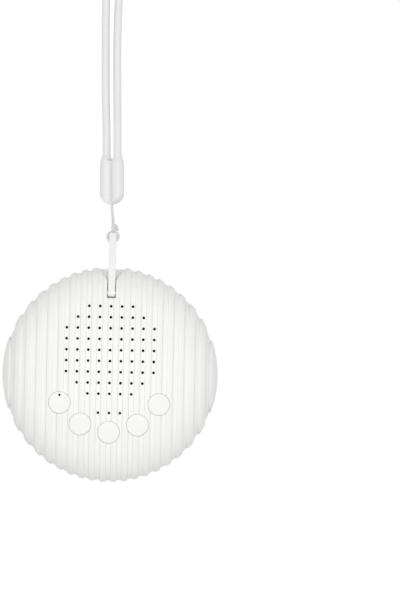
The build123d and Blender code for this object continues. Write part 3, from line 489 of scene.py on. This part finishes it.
strapCord = {
    "diameter": 1.2, "length": 31.0, "sides": 5,
    "route": [
        (2.3, 61.0, 8.76), (0.5, 60.14, 8.92), (-0.91, 59.62, 9.75), (-2.2, 58.41, 10.69),
        (-2.2, 56.68, 11.97), (-0.91, 55.47, 12.91), (0.91, 55.53, 12.99), (2.2, 56.85, 12.22),
        (2.2, 58.69, 11.1), (0.91, 60.01, 10.33), (-0.4, 61.14, 10.05), (-0.05, 63.13, 8.53),
        (-0.25, 65.65, 5.38), (-0.73, 68.75, 4.48), (-0.78, 71.13, 4.48),
    ],
}
wristStrand = {
    "diameter": 3.3, "length": 304.0, "sides": 8,  # 4 mm of each end lies in the bullet
    "route": [
        (-3.43, 89.0, 2.8), (-3.51, 93.12, 2.8), (-3.68, 102.1, 2.8), (-4.41, 117.0, 1.7),
        (-5.01, 142.0, 1.7), (-5.11, 170.0, 1.7), (-8.01, 196.0, 1.7), (-12.31, 216.0, 1.7),
        (-10.41, 231.0, 1.7), (-2.8, 237.5, 1.7), (5.4, 232.0, 1.7), (7.6, 216.5, 1.7),
        (3.2, 196.5, 1.7), (0.6, 170.5, 1.7), (-0.1, 142.5, 1.7), (0.5, 117.5, 2.5),
        (0.92, 102.69, 6.15), (1.1, 93.21, 6.15), (1.18, 89.0, 6.15),
    ],
}


def makeCord(name, values, slotName, node):
    curve = bpy.data.curves.new(name, "CURVE")
    curve.dimensions = "3D"
    curve.bevel_depth = values["diameter"] / 2 * mm
    curve.bevel_resolution = values["sides"]
    curve.resolution_u = 12
    curve.use_fill_caps = True
    spline = curve.splines.new("NURBS")
    spline.points.add(len(values["route"]) - 1)
    for point, place in zip(spline.points, values["route"]):
        point.co = (*(Vector(place) * mm), 1)
    spline.order_u = 3
    spline.use_endpoint_u = True
    piece = bpy.data.objects.new(name, curve)
    bpy.context.scene.collection.objects.link(piece)
    curve.materials.append(finishOf(slotName))
    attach(piece, "strap")
    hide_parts(node)
    return piece


def copyOf(node, name):  # a merged copy of a node's mesh
    piece = bpy.data.objects.new(name, frame["nodes"][node].data.copy())
    bpy.context.scene.collection.objects.link(piece)
    closeMesh(piece)
    return piece


bullet = {"voxel": 0.15, "softening": 26, "neckEnd": 93.2, "neckLength": 4.0, "neckSoftness": 0.1}


def makeBullet():  # its necks are softened less, so that they keep the strands' width
    piece = copyOf("strap_bullet", "strapBullet")
    applyModifier(piece, "REMESH", mode="VOXEL", voxel_size=bullet["voxel"] * mm)
    soft = piece.vertex_groups.new(name="soft")
    for vertex in piece.data.vertices:
        share = (bullet["neckEnd"] - vertex.co.y / mm) / bullet["neckLength"]
        soft.add([vertex.index], min(max(share, bullet["neckSoftness"]), 1.0), "REPLACE")
    applyModifier(piece, "SMOOTH", factor=0.5, iterations=bullet["softening"], vertex_group="soft")
    return finishPiece(piece, "strapBullet", "strap", "bullet_grey", "strap_bullet", smooth=60)


knot = {
    "centre": (0.72, 61.75, 9.5), "size": 0.27, "depth": 1.3, "cord": 0.42, "lean": 35.0, "turn": 25.0,
    "steps": 72,
}


def makeKnot():  # an overhand knot drawn tight, with its three loops over and under each other
    curve = bpy.data.curves.new("strapKnot", "CURVE")
    curve.dimensions = "3D"
    curve.bevel_depth = knot["cord"] * mm
    curve.bevel_resolution = strapCord["sides"]
    spline = curve.splines.new("POLY")
    spline.points.add(knot["steps"] - 1)
    spline.use_cyclic_u = True
    for k, point in enumerate(spline.points):
        turn = 2 * pi * k / knot["steps"]
        across, along = sin(turn) + 2 * sin(2 * turn), cos(turn) - 2 * cos(2 * turn)
        place = Vector((across, along, -knot["depth"] * sin(3 * turn)))
        point.co = (*(place * knot["size"] * mm), 1)
    piece = bpy.data.objects.new("strapKnot", curve)
    bpy.context.scene.collection.objects.link(piece)
    pickOnly(piece)
    bpy.ops.object.convert(target="MESH")
    piece.rotation_euler = (-radians(knot["lean"]), 0, radians(knot["turn"]))
    piece.location = Vector(knot["centre"]) * mm
    return finishPiece(piece, "strapKnot", "strap", "cord_white", smooth=60)


bulletPiece = makeBullet()
knotPiece = makeKnot()
cordPiece = makeCord("strapCord", strapCord, "cord_white", "strap_string")
strandPiece = makeCord("wristStrand", wristStrand, "bullet_grey", "wrist_loop")
print("strap cords laid")


ribShape = [  # distance from a valley's middle, and depth below the rib tops
    (0.0, 0.70), (0.50, 0.70), (0.80, 0.69), (0.88, 0.64), (0.94, 0.54), (1.09, 0.17), (1.18, 0.09),
    (1.35, 0.04), (1.70, 0.01), (2.28, 0.0),
]
openings = {
    "holeRows": (5, 7, 9, 9, 9, 9, 9, 7, 5), "holeCentre": 10.3, "holeRadius": 0.6,
    "lightRow": -15.9, "lightRadius": 0.59, "sides": 20,
}
bosses = {  # for the case screws, and for the speaker's ears round the holes
    "case": ((26.5, 8.0), (-26.5, 8.0), (10.2, -12.2), (-10.2, -12.2)), "caseRadius": 2.6, "caseEnd": 16.0,
    "ear": 15.6, "earRadius": 1.95, "earEnd": 25.4,
}
buttons = {
    "names": ("power", "volume_down", "sound", "volume_up", "timer"), "ring": 23.95, "first": 210, "step": 30,
    "radius": 4.56, "gap": 0.09, "proud": 0.35, "flange": 5.2, "flangeDepth": 2.42, "flangeThickness": 1.1,
    "stem": 1.6, "stemEnd": 19.1, "round": 0.3, "chamfer": 0.15, "lightRadius": 0.53, "lightOffset": 3.2,
    "collarGap": 0.2, "collar": 0.8, "collarEnd": 25.7, "sides": 72, "collarSides": 48, "roundSteps": 5,
}
channel = {
    "half": 1.85, "end": 31.95, "wall": 1.2, "pinY": 34.16, "pinHeight": 27.345, "droop": 34.0,
    "under": 2.46, "floor": 2.01, "notchApex": 35.8, "notchHalf": 25.0, "notchTilt": 38.0,
    "notchLength": 24.0, "notchSides": 72,
}


def buttonPlaces():
    turns = [radians(buttons["first"] + k * buttons["step"]) for k in range(len(buttons["names"]))]
    return [(buttons["ring"] * cos(turn), buttons["ring"] * sin(turn)) for turn in turns]


def ribColumns():
    pitch, last = case["ribPitch"], case["lastValley"]
    columns = {}
    for valley in range(-last, last + 1):
        for distance, depth in ribShape:
            for side in (-1, 1):
                columns[round(valley * pitch + side * distance, 4)] = depth
    for x in case["rimColumns"]:
        columns[x] = columns[-x] = 0.0
    return sorted(columns.items())


def ribbedOuter():  # a grid whose columns follow the ribs and whose rows run over the dome from rim to rim
    columns, rows = ribColumns(), case["rows"]
    clearSelection()
    bpy.ops.mesh.primitive_grid_add(x_subdivisions=len(columns) - 1, y_subdivisions=rows, size=2)
    piece = bpy.context.object
    for vertex in piece.data.vertices:
        x, depth = columns[round((vertex.co.x + 1) / 2 * (len(columns) - 1))]
        along = round((vertex.co.y + 1) / 2 * rows) / rows * 2 - 1
        rim = sqrt(max((case["radius"] - depth) ** 2 - x ** 2, 0.0))
        y = rim * sin(pi / 2 * along)
        height = case["seam"] if abs(along) == 1 else envelopeHeight(hypot(x, y), depth)
        vertex.co = Vector((x, y, height)) * mm
    closeMesh(piece)
    editAll(piece)
    bpy.ops.mesh.select_all(action="DESELECT")
    bpy.ops.mesh.select_mode(type="EDGE")
    bpy.ops.mesh.select_non_manifold(
        extend=False, use_wire=False, use_multi_face=False, use_non_contiguous=False, use_verts=False
    )
    bpy.ops.mesh.edge_face_add()
    bpy.ops.mesh.select_mode(type="VERT")
    bpy.ops.object.mode_set(mode="OBJECT")
    closeMesh(piece)
    return piece


def domeInside():
    edge, crown = case["edge"] - innerDepth, case["crown"] - innerDepth
    low = case["seam"] - case["belowSeam"]
    edgeSteps, crownSteps = case["insideSteps"]
    outline = [(0.0, low), (edgeCentre + edge, low)]
    for k in range(edgeSteps + 1):
        turn = (pi / 2 - crownTurn) * k / edgeSteps
        outline.append((edgeCentre + edge * cos(turn), case["seam"] + edge * sin(turn)))
    for k in range(1, crownSteps + 1):
        turn = crownTurn * (1 - k / crownSteps)
        outline.append((crown * sin(turn), crownCentre + crown * cos(turn)))
    return turned("inside", outline)


def channelBlock(grow):
    slope = radians(channel["droop"])
    low = channel["pinHeight"] - channel["under"] - grow
    below = (channel["floor"] + grow) / cos(slope)
    turnY = channel["pinY"] + (channel["pinHeight"] - below - low) / tan(slope)
    outY = case["radius"] + case["wall"]
    outHeight = channel["pinHeight"] - (outY - channel["pinY"]) * tan(slope) - below
    end, high = channel["end"] - grow, farAbove
    outline = [(end, high), (end, low), (turnY, low), (outY, outHeight), (outY, high)]
    return prism("channel", outline, channel["half"] + grow)


def notchCone(grow):
    half, tilt = radians(channel["notchHalf"]), radians(channel["notchTilt"])
    back = grow / sin(half)
    length = channel["notchLength"] + back
    middle = length / 2 - back
    apex = channel["notchApex"]
    clearSelection()
    bpy.ops.mesh.primitive_cone_add(
        vertices=channel["notchSides"], radius1=0, radius2=length * tan(half) * mm, depth=length * mm,
        location=(0, (apex + middle * cos(tilt)) * mm, (envelopeHeight(apex) - middle * sin(tilt)) * mm),
        rotation=(-pi / 2 - tilt, 0, 0)
    )
    return settle(bpy.context.object, "notch")


def makeFrontShell():
    shell = ribbedOuter()
    inside = domeInside()
    ears = [
        (side * bosses["ear"], openings["holeCentre"] + end * bosses["ear"])
        for side in (-1, 1) for end in (-1, 1)
    ]
    carve(inside, channelBlock(channel["wall"]))
    carve(inside, notchCone(channel["wall"]))
    carve(inside, posts("bosses", bosses["case"], bosses["caseRadius"], bosses["caseEnd"], farAbove))
    carve(inside, posts("earBosses", ears, bosses["earRadius"], bosses["earEnd"], farAbove))
    bore = buttons["flange"] + buttons["collarGap"]
    sides = buttons["collarSides"]
    for place in buttonPlaces():
        collar = posts("collar", [place], bore + buttons["collar"], buttons["collarEnd"], farAbove, sides)
        carve(collar, posts("collarBore", [place], bore, farBelow, farAbove + 1, sides))
        carve(inside, collar)
    carve(shell, inside)
    carve(shell, channelBlock(0.0))
    carve(shell, notchCone(0.0))
    middle = (len(openings["holeRows"]) - 1) / 2
    holes = [
        ((k - (count - 1) / 2) * case["ribPitch"], openings["holeCentre"] + (middle - row) * case["ribPitch"])
        for row, count in enumerate(openings["holeRows"]) for k in range(count)
    ]
    lights = [(side * case["ribPitch"], openings["lightRow"]) for side in (-1, 0, 1)]
    wide = buttons["radius"] + buttons["gap"]
    carve(shell, posts("holes", holes, openings["holeRadius"], farBelow, farAbove, openings["sides"]))
    carve(shell, posts("lights", lights, openings["lightRadius"], farBelow, farAbove, openings["sides"]))
    carve(shell, posts("buttonHoles", buttonPlaces(), wide, farBelow, farAbove, buttons["sides"]))
    return finishPiece(shell, "frontShell", "case", "shell_white", "front_shell", smooth=32)


makeFrontShell()
print("front shell made")


def crownHeight(x, y, depth):
    return crownCentre + sqrt((case["crown"] - depth) ** 2 - x ** 2 - y ** 2)


def makeCap(name, place):  # drawn by depth below the crown, then bent to it; the stem's end stays flat
    radius, edge, flange, chamfer = [buttons[key] for key in ("radius", "round", "flange", "chamfer")]
    top, under, steps, stemDepth = -buttons["proud"], buttons["flangeDepth"], buttons["roundSteps"], 99.0
    outline = [((radius - edge) * k / steps, top) for k in range(steps + 1)]
    for k in range(1, steps + 1):
        turn = pi / 2 * k / steps
        outline.append((radius - edge + edge * sin(turn), top + edge * (1 - cos(turn))))
    below = under + buttons["flangeThickness"]
    outline += [
        (radius, under), (flange - chamfer, under), (flange, under + chamfer), (flange, below),
        (buttons["stem"], below), (buttons["stem"], stemDepth), (0.0, stemDepth),
    ]
    cap = turned(name, outline, buttons["sides"])
    for vertex in cap.data.vertices:
        x, y, depth = vertex.co.x / mm + place[0], vertex.co.y / mm + place[1], vertex.co.z / mm
        height = buttons["stemEnd"] if depth > stemDepth / 2 else crownHeight(x, y, depth)
        vertex.co = Vector((x, y, height)) * mm
    closeMesh(cap)
    if name == "power":
        light = (place[0], place[1] + buttons["lightOffset"])
        wide = buttons["lightRadius"]
        carve(cap, posts("powerLight", [light], wide, farBelow, farAbove, openings["sides"]))
    return finishPiece(cap, name + "Cap", name + "_key", "button_white", "button_" + name)


for buttonName, buttonPlace in zip(buttons["names"], buttonPlaces()):
    makeCap(buttonName, buttonPlace)
print("key caps made")


band = {  # a strip folded round the pin, with an eye at each end
    "halfWidth": 1.5, "thickness": 0.9, "eye": 1.71, "length": 28.382, "edge": 0.22, "edgeSteps": 3,
    "sharp": 50.0, "steps": 12,
}


def makeBand():
    slope = radians(channel["droop"])
    points = []
    for centre, first in ((0.0, 90), (band["length"], 270)):
        for k in range(band["steps"] + 1):
            turn = radians(first + 180 * k / band["steps"])
            along, out = centre + band["eye"] * cos(turn), band["eye"] * sin(turn)
            points.append((
                -band["halfWidth"], channel["pinY"] + along * cos(slope) + out * sin(slope),
                channel["pinHeight"] - along * sin(slope) + out * cos(slope),
            ))
    count = len(points)
    piece = fromPoints("strapBand", points, [(k, (k + 1) % count) for k in range(count)])
    editAll(piece)
    bpy.ops.mesh.extrude_region_move(TRANSFORM_OT_translate={"value": (2 * band["halfWidth"] * mm, 0, 0)})
    bpy.ops.object.mode_set(mode="OBJECT")
    closeMesh(piece)
    applyModifier(piece, "SOLIDIFY", thickness=band["thickness"] * mm, offset=-1.0, use_even_offset=True)
    applyModifier(
        piece, "BEVEL", width=band["edge"] * mm, segments=band["edgeSteps"], limit_method="ANGLE",
        angle_limit=radians(band["sharp"])
    )
    return finishPiece(piece, "strapBand", "strap", "band_white", "strap_link")


makeBand()
print("strap band made")


# The speaker's roll and spider bend as the cone moves.
speaker = {
    "centreY": 10.3, "top": 25.4, "skin": 0.35, "glue": 0.02, "steps": 12,
    "roll": {"from": 14.4, "glued": 14.7, "to": 17.4, "foot": 18.1, "height": 1.1, "drop": 0.0},
    "spider": {"from": 6.35, "glued": 6.5, "to": 12.5, "foot": 13.5, "height": 0.6, "drop": 6.6, "waves": 3},
}


def makeBendingRing(name, values, slotName, node):
    line = []  # its underside, from the cone's edge to the basket's
    for k in range(speaker["steps"] * values.get("waves", 1) + 1):
        share = k / speaker["steps"]
        if "waves" in values:
            wave = (1 - cos(2 * pi * share)) / 2
        else:
            wave = sqrt(max(1 - (2 * share - 1) ** 2, 0.0))  # half round
        across = values["from"] + (values["to"] - values["from"]) * share / values.get("waves", 1)
        line.append((across, values["height"] * wave + speaker["glue"]))
    line.append((values["foot"], speaker["glue"]))
    outline = line + [(across, height + speaker["skin"]) for across, height in reversed(line)]
    piece = turned(name, outline + outline[:1])
    piece.location = Vector((0, speaker["centreY"], speaker["top"] - values["drop"])) * mm
    finishPiece(piece, name, None, slotName, node)
    middle, reach = Vector((0, speaker["centreY"] * mm, 0)), Vector((mm, 0, 0))
    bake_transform(piece, "cone", "case", middle + reach * values["glued"], middle + reach * values["to"])
    for vertex, weight in zip(piece.data.vertices, piece.data.attributes["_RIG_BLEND"].data):
        across = hypot(vertex.co.x, vertex.co.y - middle.y) / mm  # a ring bends outwards all round
        share = min(max((across - values["glued"]) / (values["to"] - values["glued"]), 0.0), 1.0)
        weight.value = share * share * (3 - 2 * share)
    return piece


makeBendingRing("speakerRoll", speaker["roll"], "roll_black", "speaker_surround")
makeBendingRing("speakerSpider", speaker["spider"], "spider_yellow", "speaker_spider")
print("speaker's roll and spider made")


studio = {  # metres and watts, and the floor's height in millimetres
    "floorSize": 6.0, "floorHeight": -0.02, "floorColour": (0.85, 0.85, 0.85), "floorGlow": 0.93,
    "glowStrength": 1.03, "worldStrength": 0.6,
    "keySize": 0.7, "keyHeight": 1.1, "keyX": 0.02, "keyY": 0.04, "keyPower": 5.65,
}


def plainRays(tree):  # 1 for rays that see the ground as it is: from the camera, or through gloss and glass
    rays = tree.nodes.new("ShaderNodeLightPath")
    seen = maths(tree, "MAXIMUM", rays.outputs["Is Camera Ray"], rays.outputs["Is Glossy Ray"])
    return maths(tree, "MAXIMUM", seen, rays.outputs["Is Transmission Ray"])


def addStudio():
    clearSelection()
    bpy.ops.mesh.primitive_plane_add(size=studio["floorSize"], location=(0, 0, studio["floorHeight"] * mm))
    floor = settle(bpy.context.object, "studioFloor")
    paper = bpy.data.materials.new("paperFloor")
    paper.use_nodes = True
    nodes, links = paper.node_tree.nodes, paper.node_tree.links
    nodes.remove(nodes["Principled BSDF"])
    glow, matte, mix = [nodes.new(kind) for kind in (
        "ShaderNodeEmission", "ShaderNodeBsdfDiffuse", "ShaderNodeMixShader"
    )]
    matte.inputs["Color"].default_value = (*studio["floorColour"], 1)
    glow.inputs["Strength"].default_value = studio["glowStrength"]
    share = maths(paper.node_tree, "MULTIPLY", plainRays(paper.node_tree), studio["floorGlow"])
    links.new(share, mix.inputs["Fac"])
    links.new(matte.outputs[0], mix.inputs[1])
    links.new(glow.outputs[0], mix.inputs[2])
    links.new(mix.outputs[0], nodes["Material Output"].inputs["Surface"])
    floor.data.materials.append(paper)

    world = bpy.data.worlds.new("studioWorld")
    bpy.context.scene.world = world
    world.use_nodes = True
    nodes, links = world.node_tree.nodes, world.node_tree.links
    sky = nodes["Background"]
    back, mix = nodes.new("ShaderNodeBackground"), nodes.new("ShaderNodeMixShader")
    sky.inputs["Color"].default_value = (1, 1, 1, 1)
    sky.inputs["Strength"].default_value = studio["worldStrength"]
    back.inputs["Color"].default_value = (1, 1, 1, 1)
    links.new(plainRays(world.node_tree), mix.inputs["Fac"])
    links.new(sky.outputs[0], mix.inputs[1])
    links.new(back.outputs[0], mix.inputs[2])
    links.new(mix.outputs[0], nodes["World Output"].inputs["Surface"])

    lamp = bpy.data.lights.new("softBox", "AREA")
    lamp.shape = "DISK"
    lamp.size = studio["keySize"]
    lamp.energy = studio["keyPower"]
    holder = bpy.data.objects.new("softBox", lamp)
    holder.location = (studio["keyX"], studio["keyY"], studio["keyHeight"])
    holder.rotation_euler = holder.location.to_track_quat("Z", "Y").to_euler()
    bpy.context.scene.collection.objects.link(holder)
    bpy.context.scene.view_settings.view_transform = "Standard"


addStudio()
print("studio lit")

clearSelection()
